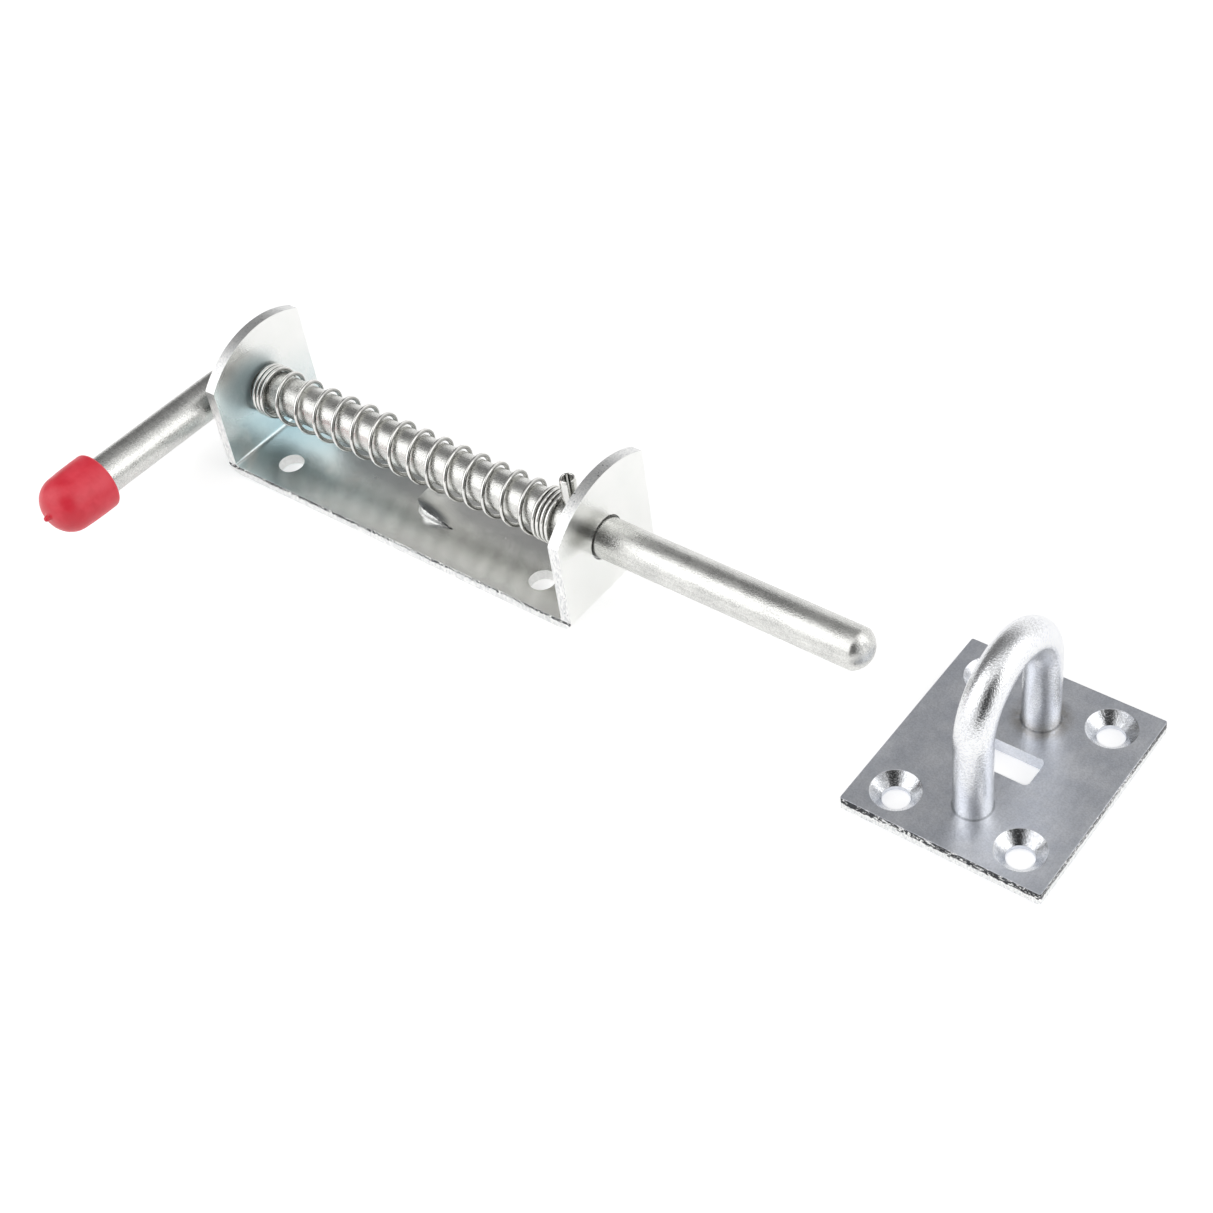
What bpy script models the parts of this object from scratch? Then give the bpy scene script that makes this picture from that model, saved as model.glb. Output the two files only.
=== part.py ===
"""A spring-loaded padlock bolt with its keep.

A folded steel bracket guides a round bolt with a bent handle. A compression spring
drives the bolt into the eye of a staple that stands on a separate keep plate.
Metres, +Z up. The bolt runs along X, and its tip points to +X.
The origin is on the bracket's underside, midway between the two front screw holes.
Lengths along X below are counted from the bracket's middle.
"""

import math

import bmesh
import bpy
from mathutils import Vector

# Shared clearances
SEAT_GAP = 0.0003
CUT_MARGIN = 0.002

# Bracket, folded from one sheet
BRACKET_LENGTH = 0.112
BRACKET_WIDTH = 0.032
SHEET = 0.003
EAR_HEIGHT = 0.035
EAR_ARCH_RADIUS = 0.0248
EAR_CROWN_Y = 0.003
BEND_INSIDE_RADIUS = 0.001
SCREW_HOLE_RADIUS = 0.00325
SCREW_INSET_X = 0.015
SCREW_INSET_Y = 0.008

# Hold-open tab, struck up from the base
TAB_HINGE_X = 0.0114
TAB_LENGTH = 0.0125
TAB_WIDTH = 0.011
TAB_ANGLE = math.radians(19)
TAB_CORNER_RADIUS = 0.0035
TAB_SLIT = 0.0004
TAB_ROOT = 0.001

# Bolt, one round bar bent into a handle
ROD_RADIUS = 0.005
ROD_AXIS_HEIGHT = 0.0175
GUIDE_CLEARANCE = 0.0005
TIP_REACH = 0.0709
TIP_DOME = 0.0033
HANDLE_SETBACK = 0.0067
HANDLE_BEND_RADIUS = 0.0075
HANDLE_REACH = 0.0615
HANDLE_RISE = math.radians(2)
HANDLE_CHAMFER = 0.0008

# Dipped cap on the handle
CAP_RADIUS = 0.00745
CAP_END_WALL = 0.0028
CAP_DEPTH = 0.0130
CAP_LIP = 0.0007
CAP_END_FLAT = 0.0011
CAP_TAPER = 0.0002
NIB_RADIUS = 0.0008
NIB_HEIGHT = 0.0014

# Slotted spring pin through the bolt
PIN_SETBACK = 0.0061
PIN_RADIUS = 0.002
PIN_WALL = 0.0007
PIN_SLOT = 0.0010
PIN_CHAMFER = 0.0003
PIN_LONG_REACH = 0.0140
PIN_SHORT_REACH = 0.0072
PIN_SLOT_TURN = math.radians(-40)

# Compression spring
WIRE_RADIUS = 0.00055
SPRING_RADIUS = 0.0062
SPRING_SAG = 0.0003
TURN_GAP = 0.0002
REAR_CLOSED_TURNS = 3.0
OPEN_TURNS = 14.4
FRONT_CLOSED_TURNS = 4.0
SPRING_PHASE = math.radians(234)
REAR_PITCH_EXCESS = 0.08

# Keep plate
KEEP_STANDOFF = 0.0316
KEEP_LENGTH = 0.0465
KEEP_WIDTH = 0.053
KEEP_THICKNESS = 0.0035
KEEP_EDGE_BREAK = 0.0003
KEEP_HOLE_PITCH_X = 0.029
KEEP_HOLE_PITCH_Y = 0.0376
KEEP_HOLE_RADIUS = 0.003
COUNTERSINK_RADIUS = 0.0055
COUNTERSINK_DEPTH = 0.0024
SLOT_LENGTH = 0.0136
SLOT_WIDTH = 0.0078
SLOT_CORNER_RADIUS = 0.0012

# Staple on the keep plate
STAPLE_OFFSET_X = 0.0007
STAPLE_WIRE_RADIUS = 0.00415
STAPLE_SPREAD = 0.0277
STAPLE_HEIGHT = 0.0405

# Facets
ROUND_SIDES = 40
BAR_SIDES = 32
ARCH_STEPS = 24
BEND_STEPS = 6
HANDLE_BEND_STEPS = 10
DOME_STEPS = 6
TIP_FACET = 0.5
WIRE_SIDES = 5
STEPS_PER_TURN = 14
SMOOTH_ANGLE = math.radians(35)

# Sizes that follow from those above
SCREW_PITCH_X = BRACKET_LENGTH - 2 * SCREW_INSET_X
SCREW_PITCH_Y = BRACKET_WIDTH - 2 * SCREW_INSET_Y
BRACKET_MIDDLE_X = -SCREW_PITCH_X / 2
EAR_INSIDE_X = BRACKET_LENGTH / 2 - SHEET
PIN_X = EAR_INSIDE_X - PIN_SETBACK
TIP_X = BRACKET_LENGTH / 2 + TIP_REACH
KEEP_X = TIP_X + KEEP_STANDOFF
HANDLE_X = -BRACKET_LENGTH / 2 - HANDLE_SETBACK
GUIDE_RADIUS = ROD_RADIUS + GUIDE_CLEARANCE
CAP_RIM = HANDLE_REACH - CAP_DEPTH
CAP_END = HANDLE_REACH + SEAT_GAP + CAP_END_WALL
SPRING_AXIS_HEIGHT = ROD_AXIS_HEIGHT - SPRING_SAG


def clear_scene():
    for obj in list(bpy.data.objects):
        bpy.data.objects.remove(obj, do_unlink=True)


def make_material(name, colour, roughness, metallic):
    material = bpy.data.materials.new(name)
    material.use_nodes = True
    shader = material.node_tree.nodes["Principled BSDF"]
    shader.inputs["Base Color"].default_value = (*colour, 1.0)
    shader.inputs["Roughness"].default_value = roughness
    shader.inputs["Metallic"].default_value = metallic
    return material


def add_rings(bm, rings):
    """Joins rings of equal length into one closed tube, with a face over each end."""
    loops = [[bm.verts.new(point) for point in ring] for ring in rings]
    count = len(loops[0])
    for first, second in zip(loops, loops[1:]):
        for i in range(count):
            j = (i + 1) % count
            bm.faces.new((first[i], first[j], second[j], second[i]))
    bm.faces.new(loops[0])
    bm.faces.new(reversed(loops[-1]))
    bmesh.ops.recalc_face_normals(bm, faces=bm.faces)


def add_piece(name, rings, material=None, smooth=False):
    """Makes an object from rings counted from the bracket's middle."""
    bm = bmesh.new()
    add_rings(bm, rings)
    mesh = bpy.data.meshes.new(name)
    bm.to_mesh(mesh)
    bm.free()
    if smooth:
        mesh.shade_smooth()
        mesh.set_sharp_from_angle(angle=SMOOTH_ANGLE)
    obj = bpy.data.objects.new(name, mesh)
    obj.location.x = BRACKET_MIDDLE_X
    bpy.context.scene.collection.objects.link(obj)
    if material:
        mesh.materials.append(material)
    return obj


def add_cutter(name, rings):
    obj = add_piece(name, rings)
    obj.hide_render = True
    obj.display_type = "WIRE"
    return obj


def use_boolean(obj, other, operation):
    modifier = obj.modifiers.new(f"{operation.title()} {other.name}", "BOOLEAN")
    modifier.operation = operation
    modifier.solver = "EXACT"
    modifier.object = other


def circle(radius, sides=ROUND_SIDES):
    angles = [2 * math.pi * i / sides for i in range(sides)]
    return [(radius * math.cos(angle), radius * math.sin(angle)) for angle in angles]


def arc(centre, radius, start, end, steps):
    angles = [start + (end - start) * i / steps for i in range(steps + 1)]
    return [(centre[0] + radius * math.cos(a), centre[1] + radius * math.sin(a)) for a in angles]


def rounded_rectangle(centre, length, width, radius):
    x, y = length / 2 - radius, width / 2 - radius
    corners = ((x, y, 0), (-x, y, 1), (-x, -y, 2), (x, -y, 3))
    points = []
    for cx, cy, quarter in corners:
        start = quarter * math.pi / 2
        middle = (centre[0] + cx, centre[1] + cy)
        points += arc(middle, radius, start, start + math.pi / 2, BEND_STEPS)
    return points


def along_x(outline, start, end):
    return [[(x, a, b) for a, b in outline] for x in (start, end)]


def along_y(outline, start, end):
    return [[(a, y, b) for a, b in outline] for y in (start, end)]


def along_z(outline, start, end):
    return [[(a, b, z) for a, b in outline] for z in (start, end)]


def drill(x, y, radius, bottom, top):
    outline = [(x + a, y + b) for a, b in circle(radius)]
    return along_z(outline, bottom, top)


# The sheet seen from the side: base, two bends and two upright ears
def bracket_section():
    half = BRACKET_LENGTH / 2
    outer = BEND_INSIDE_RADIUS + SHEET
    rise = EAR_HEIGHT + CUT_MARGIN
    left, down, right = math.pi, 1.5 * math.pi, 2 * math.pi
    rear, front = (-half + outer, outer), (half - outer, outer)
    outside = [(-half, rise)] + arc(rear, outer, left, down, BEND_STEPS)
    outside += arc(front, outer, down, right, BEND_STEPS) + [(half, rise)]
    inside = [(half - SHEET, rise)] + arc(front, BEND_INSIDE_RADIUS, right, down, BEND_STEPS)
    inside += arc(rear, BEND_INSIDE_RADIUS, down, left, BEND_STEPS) + [(-half + SHEET, rise)]
    return outside + inside


# An ear seen from the front: straight sides, then one arch with its crown off the middle
def ear_outline():
    half = BRACKET_WIDTH / 2
    middle = (EAR_CROWN_Y, EAR_HEIGHT - EAR_ARCH_RADIUS)
    start = math.acos((half - EAR_CROWN_Y) / EAR_ARCH_RADIUS)
    end = math.pi - math.acos((half + EAR_CROWN_Y) / EAR_ARCH_RADIUS)
    arch = arc(middle, EAR_ARCH_RADIUS, start, end, ARCH_STEPS)
    return [(-half, -CUT_MARGIN), (half, -CUT_MARGIN)] + arch


# The tab seen from the side, rising to the rear from its root inside the base
def tab_section():
    rise, run = math.sin(TAB_ANGLE), math.cos(TAB_ANGLE)
    slope = math.tan(TAB_ANGLE)
    end_x, end_z = TAB_HINGE_X - TAB_LENGTH * run, SHEET + TAB_LENGTH * rise
    under_z = TAB_SLIT / 2
    under_x = TAB_HINGE_X - SHEET * math.tan(TAB_ANGLE / 2) - under_z / slope
    return [
        (TAB_HINGE_X + TAB_ROOT, SHEET - TAB_ROOT * slope),
        (end_x, end_z),
        (end_x - SHEET * rise, end_z - SHEET * run),
        (under_x, under_z),
        (TAB_HINGE_X + TAB_ROOT, 2 * under_z),
    ]


def tab_rear_x():
    return TAB_HINGE_X - TAB_LENGTH * math.cos(TAB_ANGLE) - SHEET * math.sin(TAB_ANGLE)


# The tab seen from above, cut short of the hinge by the given amount and widened by the slit
def tab_plan(front_x, slit):
    rear_x = tab_rear_x() - slit
    length = front_x - rear_x + TAB_CORNER_RADIUS
    middle = rear_x + length / 2
    half = TAB_WIDTH / 2 + slit
    plan = rounded_rectangle((middle, 0), length, 2 * half, TAB_CORNER_RADIUS + slit)
    return [(min(x, front_x), y) for x, y in plan]


def make_tab():
    width = TAB_WIDTH + 2 * CUT_MARGIN
    tab = add_cutter("tab", along_y(tab_section(), -width / 2, width / 2))
    outline = tab_plan(TAB_HINGE_X + TAB_ROOT + CUT_MARGIN, 0)
    plan = add_cutter("tab_plan", along_z(outline, -CUT_MARGIN, EAR_HEIGHT))
    use_boolean(tab, plan, "INTERSECT")
    return tab


def make_bracket(steel):
    reach = BRACKET_WIDTH / 2 + CUT_MARGIN
    bracket = add_piece("bracket", along_y(bracket_section(), -reach, reach), steel, smooth=True)
    span = BRACKET_LENGTH / 2 + CUT_MARGIN
    use_boolean(bracket, add_cutter("ear_shape", along_x(ear_outline(), -span, span)), "INTERSECT")
    guide = [(a, ROD_AXIS_HEIGHT + b) for a, b in circle(GUIDE_RADIUS)]
    use_boolean(bracket, add_cutter("guide_bore", along_x(guide, -span, span)), "DIFFERENCE")
    for side_x in (-1, 1):
        for side_y in (-1, 1):
            x, y = side_x * SCREW_PITCH_X / 2, side_y * SCREW_PITCH_Y / 2
            rings = drill(x, y, SCREW_HOLE_RADIUS, -CUT_MARGIN, SHEET + CUT_MARGIN)
            use_boolean(bracket, add_cutter("screw_bore", rings), "DIFFERENCE")
    opening = tab_plan(TAB_HINGE_X - TAB_SLIT, TAB_SLIT)
    rings = along_z(opening, -CUT_MARGIN, SHEET + CUT_MARGIN)
    use_boolean(bracket, add_cutter("tab_opening", rings), "DIFFERENCE")
    use_boolean(bracket, make_tab(), "UNION")
    return bracket


def bar_ring(centre, direction, radius, sides=BAR_SIDES):
    """A circle around a point of a bar, square to the bar."""
    across = Vector((0, 0, 1)).cross(direction).normalized()
    up = direction.cross(across)
    return [centre + across * a + up * b for a, b in circle(radius, sides)]


def handle_way():
    """The way in which the handle points, a little above level."""
    return Vector((0, -math.cos(HANDLE_RISE), math.sin(HANDLE_RISE)))


# The domed tip, a cap of a sphere that meets the bar in a crease
def tip_rings(ahead):
    sphere = (ROD_RADIUS**2 + TIP_DOME**2) / (2 * TIP_DOME)
    reach = math.asin(ROD_RADIUS / sphere)
    rings = []
    for i in range(DOME_STEPS):
        angle = reach * (i + TIP_FACET) / (DOME_STEPS - 1 + TIP_FACET)
        centre = Vector((TIP_X - sphere * (1 - math.cos(angle)), 0, ROD_AXIS_HEIGHT))
        rings.append(bar_ring(centre, ahead, sphere * math.sin(angle)))
    return rings


# Tip, straight bar, quarter bend, then the handle with a chamfered end
def rod_rings():
    ahead, aside = Vector((-1, 0, 0)), handle_way()
    corner = Vector((HANDLE_X, 0, ROD_AXIS_HEIGHT))
    rings = tip_rings(ahead)
    turn = corner + (aside - ahead) * HANDLE_BEND_RADIUS
    for i in range(HANDLE_BEND_STEPS + 1):
        angle = math.pi / 2 * i / HANDLE_BEND_STEPS
        outward = ahead * math.sin(angle) - aside * math.cos(angle)
        direction = ahead * math.cos(angle) + aside * math.sin(angle)
        rings.append(bar_ring(turn + outward * HANDLE_BEND_RADIUS, direction, ROD_RADIUS))
    for back, inset in ((HANDLE_CHAMFER, 0), (0, HANDLE_CHAMFER)):
        centre = corner + aside * (HANDLE_REACH - back)
        rings.append(bar_ring(centre, aside, ROD_RADIUS - inset))
    return rings


def make_rod(steel):
    rod = add_piece("bolt_rod", rod_rings(), steel, smooth=True)
    reach = ROD_RADIUS + CUT_MARGIN
    bottom, top = ROD_AXIS_HEIGHT - reach, ROD_AXIS_HEIGHT + reach
    rings = drill(PIN_X, 0, PIN_RADIUS + SEAT_GAP, bottom, top)
    use_boolean(rod, add_cutter("pin_bore", rings), "DIFFERENCE")
    return rod


# Radius and distance from the bolt's axis, from inside the cap round its rim to the nib
def cap_profile():
    inner = ROD_RADIUS + SEAT_GAP
    floor = HANDLE_REACH + SEAT_GAP
    end_round = CAP_RADIUS - CAP_TAPER - CAP_END_FLAT
    profile = [(0, floor), (inner, floor), (inner, CAP_RIM), (CAP_RADIUS - CAP_LIP, CAP_RIM)]
    profile.append((CAP_RADIUS, CAP_RIM + CAP_LIP))
    middle = (CAP_END_FLAT, CAP_END - end_round)
    profile += arc(middle, end_round, 0, math.pi / 2, BEND_STEPS)
    profile += [(NIB_RADIUS, CAP_END), (NIB_RADIUS, CAP_END + NIB_HEIGHT / 2)]
    profile.append((NIB_RADIUS / 2, CAP_END + NIB_HEIGHT))
    return profile


def make_cap(rubber):
    aside = handle_way()
    axis_start = Vector((HANDLE_X, 0, ROD_AXIS_HEIGHT))
    rings = []
    for radius, distance in cap_profile():
        radius = max(radius, SEAT_GAP)
        rings.append(bar_ring(axis_start + aside * distance, aside, radius))
    return add_piece("handle_cap", rings, rubber, smooth=True)


# A ring of sheet with a slit, wound round the pin's axis
def pin_section(outer_radius):
    inner_radius = PIN_RADIUS - PIN_WALL
    outer_slit = math.asin(PIN_SLOT / 2 / outer_radius)
    inner_slit = math.asin(PIN_SLOT / 2 / inner_radius)
    turn, whole = PIN_SLOT_TURN, 2 * math.pi
    outside = arc((PIN_X, 0), outer_radius, turn + outer_slit, turn + whole - outer_slit, ARCH_STEPS)
    inside = arc((PIN_X, 0), inner_radius, turn + whole - inner_slit, turn + inner_slit, ARCH_STEPS)
    return outside + inside


def make_pin(steel):
    bottom = ROD_AXIS_HEIGHT - PIN_SHORT_REACH
    top = ROD_AXIS_HEIGHT + PIN_LONG_REACH
    levels = (
        (bottom, PIN_RADIUS - PIN_CHAMFER),
        (bottom + 2 * PIN_CHAMFER, PIN_RADIUS),
        (top - 2 * PIN_CHAMFER, PIN_RADIUS),
        (top, PIN_RADIUS - PIN_CHAMFER),
    )
    rings = [[(a, b, z) for a, b in pin_section(radius)] for z, radius in levels]
    return add_piece("roll_pin", rings, steel, smooth=True)


def spring_reach():
    """Where the wire's centre starts at the rear ear and ends at the pin."""
    start = -EAR_INSIDE_X + SEAT_GAP + WIRE_RADIUS
    end = PIN_X - PIN_RADIUS - SEAT_GAP - WIRE_RADIUS
    return start, end


def spring_x(turn):
    """How far along X the wire has come after this many turns, a little faster at the rear."""
    start, end = spring_reach()
    closed_pitch = 2 * WIRE_RADIUS + TURN_GAP
    closed = closed_pitch * (REAR_CLOSED_TURNS + FRONT_CLOSED_TURNS)
    opened = min(max(turn - REAR_CLOSED_TURNS, 0), OPEN_TURNS)
    share = opened / OPEN_TURNS
    share += REAR_PITCH_EXCESS * share * (1 - share)
    return start + closed_pitch * (turn - opened) + (end - start - closed) * share


def spring_point(turn):
    angle = SPRING_PHASE + 2 * math.pi * turn
    y, z = SPRING_RADIUS * math.cos(angle), SPRING_RADIUS * math.sin(angle)
    return Vector((spring_x(turn), y, SPRING_AXIS_HEIGHT + z))


def make_spring(steel):
    turns = REAR_CLOSED_TURNS + OPEN_TURNS + FRONT_CLOSED_TURNS
    steps = round(turns * STEPS_PER_TURN)
    small = 1 / STEPS_PER_TURN / 4
    rings = []
    for i in range(steps + 1):
        turn = turns * i / steps
        centre = spring_point(turn)
        tangent = (spring_point(turn + small) - spring_point(turn - small)).normalized()
        radial = (centre - Vector((centre.x, 0, SPRING_AXIS_HEIGHT))).normalized()
        other = tangent.cross(radial).normalized()
        ring = circle(WIRE_RADIUS, WIRE_SIDES)
        rings.append([centre + radial * a + other * b for a, b in ring])
    return add_piece("spring", rings, steel, smooth=True)


def make_keep_plate(steel):
    middle = (KEEP_X, 0)
    outline = rounded_rectangle(middle, KEEP_LENGTH, KEEP_WIDTH, KEEP_EDGE_BREAK)
    plate = add_piece("keep_plate", along_z(outline, 0, KEEP_THICKNESS), steel, smooth=True)
    top = KEEP_THICKNESS
    for side_x in (-1, 1):
        for side_y in (-1, 1):
            x, y = KEEP_X + side_x * KEEP_HOLE_PITCH_X / 2, side_y * KEEP_HOLE_PITCH_Y / 2
            use_boolean(plate, add_cutter("countersink", countersink(x, y, top)), "DIFFERENCE")
    centre = (KEEP_X + STAPLE_OFFSET_X, 0)
    slot = rounded_rectangle(centre, SLOT_LENGTH, SLOT_WIDTH, SLOT_CORNER_RADIUS)
    rings = along_z(slot, -CUT_MARGIN, top + CUT_MARGIN)
    use_boolean(plate, add_cutter("slot", rings), "DIFFERENCE")
    for side in (-1, 1):
        radius = STAPLE_WIRE_RADIUS + SEAT_GAP
        y = side * STAPLE_SPREAD / 2
        rings = drill(centre[0], y, radius, -CUT_MARGIN, top + CUT_MARGIN)
        use_boolean(plate, add_cutter("staple_bore", rings), "DIFFERENCE")
    return plate


# A straight drill below, a cone up to the plate's face, and the same cone carried on above it
def countersink(x, y, top):
    flare = (COUNTERSINK_RADIUS - KEEP_HOLE_RADIUS) / COUNTERSINK_DEPTH
    levels = (
        (-CUT_MARGIN, KEEP_HOLE_RADIUS),
        (top - COUNTERSINK_DEPTH, KEEP_HOLE_RADIUS),
        (top + CUT_MARGIN, COUNTERSINK_RADIUS + flare * CUT_MARGIN),
    )
    return [[(x + a, y + b, z) for a, b in circle(radius)] for z, radius in levels]


# Up one leg, over the half-circle and down the other leg
def make_staple(steel):
    half = STAPLE_SPREAD / 2
    spring_line = STAPLE_HEIGHT - STAPLE_WIRE_RADIUS - half
    x = KEEP_X + STAPLE_OFFSET_X
    path = [(-half, SEAT_GAP, 0)]
    for i in range(ARCH_STEPS + 1):
        angle = math.pi * i / ARCH_STEPS
        y, z = -half * math.cos(angle), spring_line + half * math.sin(angle)
        path.append((y, z, angle))
    path.append((half, SEAT_GAP, math.pi))
    rings = []
    for y, z, angle in path:
        inward = Vector((0, math.cos(angle), -math.sin(angle)))
        ring = circle(STAPLE_WIRE_RADIUS, BAR_SIDES)
        rings.append([Vector((x + a, y, z)) + inward * b for a, b in ring])
    return add_piece("staple", rings, steel, smooth=True)


def hang_on_axis(pieces):
    """The bolt slides along and turns about the axis that this empty marks."""
    axis = bpy.data.objects.new("bolt_axis", None)
    axis.location = (BRACKET_MIDDLE_X, 0, ROD_AXIS_HEIGHT)
    bpy.context.scene.collection.objects.link(axis)
    bpy.context.view_layer.update()
    for piece in pieces:
        piece.parent = axis
        piece.matrix_parent_inverse = axis.matrix_world.inverted()


def main():
    clear_scene()
    sheet_steel = make_material("zinc_sheet", (0.72, 0.75, 0.77), 0.32, 1.0)
    bar_steel = make_material("zinc_bar", (0.74, 0.75, 0.75), 0.28, 1.0)
    wire_steel = make_material("spring_wire", (0.66, 0.66, 0.65), 0.24, 1.0)
    keep_steel = make_material("zinc_plate", (0.58, 0.62, 0.68), 0.36, 1.0)
    red_vinyl = make_material("red_vinyl", (0.74, 0.02, 0.06), 0.45, 0.0)
    make_bracket(sheet_steel)
    make_keep_plate(keep_steel)
    make_staple(bar_steel)
    pieces = [make_rod(bar_steel), make_cap(red_vinyl)]
    pieces += [make_pin(wire_steel), make_spring(wire_steel)]
    hang_on_axis(pieces)


main()
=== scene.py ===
"""Looks of the spring-loaded padlock bolt and its keep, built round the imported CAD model.

Metres, +Z up. Lengths along X are counted from the bracket's middle, as in the part's source,
and every piece is then moved by MIDDLE_X into the shared frame. Places in the materials are in
the shared frame.
"""

import math

import bmesh
import bpy
from mathutils import Matrix, Vector


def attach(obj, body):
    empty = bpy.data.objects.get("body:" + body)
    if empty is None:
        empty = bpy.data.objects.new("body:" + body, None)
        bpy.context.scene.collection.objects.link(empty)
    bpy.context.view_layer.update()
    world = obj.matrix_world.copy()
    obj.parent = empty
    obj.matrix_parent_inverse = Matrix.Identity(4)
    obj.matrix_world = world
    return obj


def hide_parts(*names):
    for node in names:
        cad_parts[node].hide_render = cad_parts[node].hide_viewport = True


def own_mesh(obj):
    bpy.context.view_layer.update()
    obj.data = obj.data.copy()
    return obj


# Sizes repeated from the part's source
BRACKET_LENGTH = 0.112
BRACKET_WIDTH = 0.032
SHEET = 0.003
EAR_HEIGHT = 0.035
EAR_ARCH_RADIUS = 0.0248
EAR_CROWN_Y = 0.003
BEND_INSIDE_RADIUS = 0.001
SCREW_HOLE_RADIUS = 0.00325
SCREW_PITCH_X = 0.082
SCREW_PITCH_Y = 0.016
TAB_HINGE_X = 0.0114
TAB_LENGTH = 0.0125
TAB_WIDTH = 0.011
TAB_ANGLE = math.radians(19)
TAB_CORNER_RADIUS = 0.0035
TAB_SLIT = 0.0004
TAB_ROOT = 0.001
ROD_RADIUS = 0.005
ROD_AXIS_HEIGHT = 0.0175
GUIDE_CLEARANCE = 0.0005
TIP_X = 0.1269
TIP_DOME = 0.0033
HANDLE_X = -0.0627
HANDLE_BEND_RADIUS = 0.0075
HANDLE_REACH = 0.0615
HANDLE_RISE = math.radians(2)
CAP_RADIUS = 0.00745
CAP_RIM = 0.0485
CAP_END = 0.0646
CAP_END_FLAT = 0.0011
CAP_TAPER = 0.0002
NIB_HEIGHT = 0.0014
PIN_X = 0.0469
PIN_RADIUS = 0.002
PIN_WALL = 0.0007
PIN_SLOT = 0.0010
PIN_CHAMFER = 0.0003
PIN_BOTTOM = 0.0103
PIN_TOP = 0.0315
PIN_SLOT_TURN = math.radians(-40)
WIRE_RADIUS = 0.00055
SPRING_RADIUS = 0.0062
SPRING_AXIS_HEIGHT = 0.0172
SPRING_PHASE = math.radians(234)
REAR_PITCH_EXCESS = 0.08
CLOSED_PITCH = 0.0013
REAR_CLOSED_TURNS = 3.0
OPEN_TURNS = 14.4
FRONT_CLOSED_TURNS = 4.0
SPRING_START_X = -0.05215
SPRING_END_X = 0.04405
KEEP_X = 0.1585
KEEP_LENGTH = 0.0465
KEEP_WIDTH = 0.053
KEEP_THICKNESS = 0.0035
KEEP_HOLE_PITCH_X = 0.029
KEEP_HOLE_PITCH_Y = 0.0376
KEEP_HOLE_RADIUS = 0.003
COUNTERSINK_RADIUS = 0.0055
COUNTERSINK_DEPTH = 0.0024
SLOT_LENGTH = 0.0136
SLOT_WIDTH = 0.0078
SLOT_CORNER_RADIUS = 0.0012
STAPLE_X = 0.1592
STAPLE_WIRE_RADIUS = 0.00415
STAPLE_SPREAD = 0.0277
STAPLE_HEIGHT = 0.0405
STAPLE_FOOT = 0.0003
MIDDLE_X = -0.041
CUT_MARGIN = 0.002

# Fineness
HOLE_SIDES = 72
BAR_SIDES = 72
WIRE_SIDES = 12
WIRE_STEPS_PER_TURN = 40
ARCH_STEPS = 72
BEND_STEPS = 10
CORNER_STEPS = 8
TIP_RINGS = 16
ROD_STEPS = 40
HANDLE_BEND_STEPS = 24
CAP_END_STEPS = 18
PIN_STEPS = 48
LEG_STEPS = 12
SMOOTH_ANGLE = math.radians(28)
PIN_SMOOTH_ANGLE = math.radians(24)
ROUND_SMOOTH_ANGLE = math.radians(50)

# Details that only the visible pieces have
EDGE_BREAK = 0.00022
EDGE_BREAK_ANGLE = math.radians(40)
PLATE_BREAK_ANGLE = math.radians(25)
PLATE_CORNER_RADIUS = 0.0004
TIP_CREASE = 0.97
TIP_FIRST_RING = 0.2
DOME_GAP = 0.0002
HANDLE_CHAMFER = 0.0008
CAP_GAP = 0.0001
CAP_END_GAP = 0.0003
CAP_INNER_LIP = 0.0005
CAP_OUTER_LIP = 0.0008
CAP_SIDE = ((0, 0.004), (0.00005, 0.007))
NIB_PROFILE = ((0.0009, 0.0001), (0.00075, 0.0004), (0.0007, 0.0009), (0.0005, 0.0013), (0.0002, NIB_HEIGHT))
PIN_LIP = 0.0001
WIRE_END_SHARE = 0.8
FLAT_WEIGHT = 90

# Looks: noise scales in 1/m, and how strongly each layer works
CLOUD_SCALE = 160.0
PIT_SCALE = 2700.0
SPECK_SCALE = 420.0
GRAIN_SHADE = 0.34
PIT_SHADE = 0.3
CLOUD_ROUGHNESS = 0.22
GRAIN_ROUGHNESS = 0.16
REAR_EAR_PATCH_DULLNESS = 0.3
WAVE_DEPTH = 0.00006
PIT_DEPTH = 0.00012
NICK_COLOUR = (0.035, 0.037, 0.042)
EDGE_ON = 0.6

# Stage
FLOOR_DROP = 0.0004
FLOOR_COLOUR = (0.86, 0.86, 0.86, 1)
FLOOR_SEEN_GLOW = 0.45
FLOOR_MIRRORED_GLOW = 0.42
AHEAD_OF_CAMERA = (0.698, -0.716, 0)
ASIDE_OF_CAMERA = (0.716, 0.698, 0)
LAMP_TARGET = Vector((0.03, 0, 0.01))

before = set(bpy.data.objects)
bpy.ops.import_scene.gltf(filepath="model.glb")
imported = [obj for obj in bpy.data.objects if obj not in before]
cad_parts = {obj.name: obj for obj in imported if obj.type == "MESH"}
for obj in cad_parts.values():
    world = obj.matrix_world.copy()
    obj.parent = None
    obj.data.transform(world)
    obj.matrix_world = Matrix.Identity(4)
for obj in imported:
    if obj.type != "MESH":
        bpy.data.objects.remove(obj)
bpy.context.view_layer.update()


# Geometry
def add_rings(bm, rings):
    """Skins a row of rings into one closed shell."""
    loops = [[bm.verts.new(point) for point in ring] for ring in rings]
    count = len(loops[0])
    for first, second in zip(loops, loops[1:]):
        for i in range(count):
            j = (i + 1) % count
            bm.faces.new((first[i], first[j], second[j], second[i]))
    bm.faces.new(loops[0])
    bm.faces.new(reversed(loops[-1]))
    bmesh.ops.recalc_face_normals(bm, faces=bm.faces)


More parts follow.
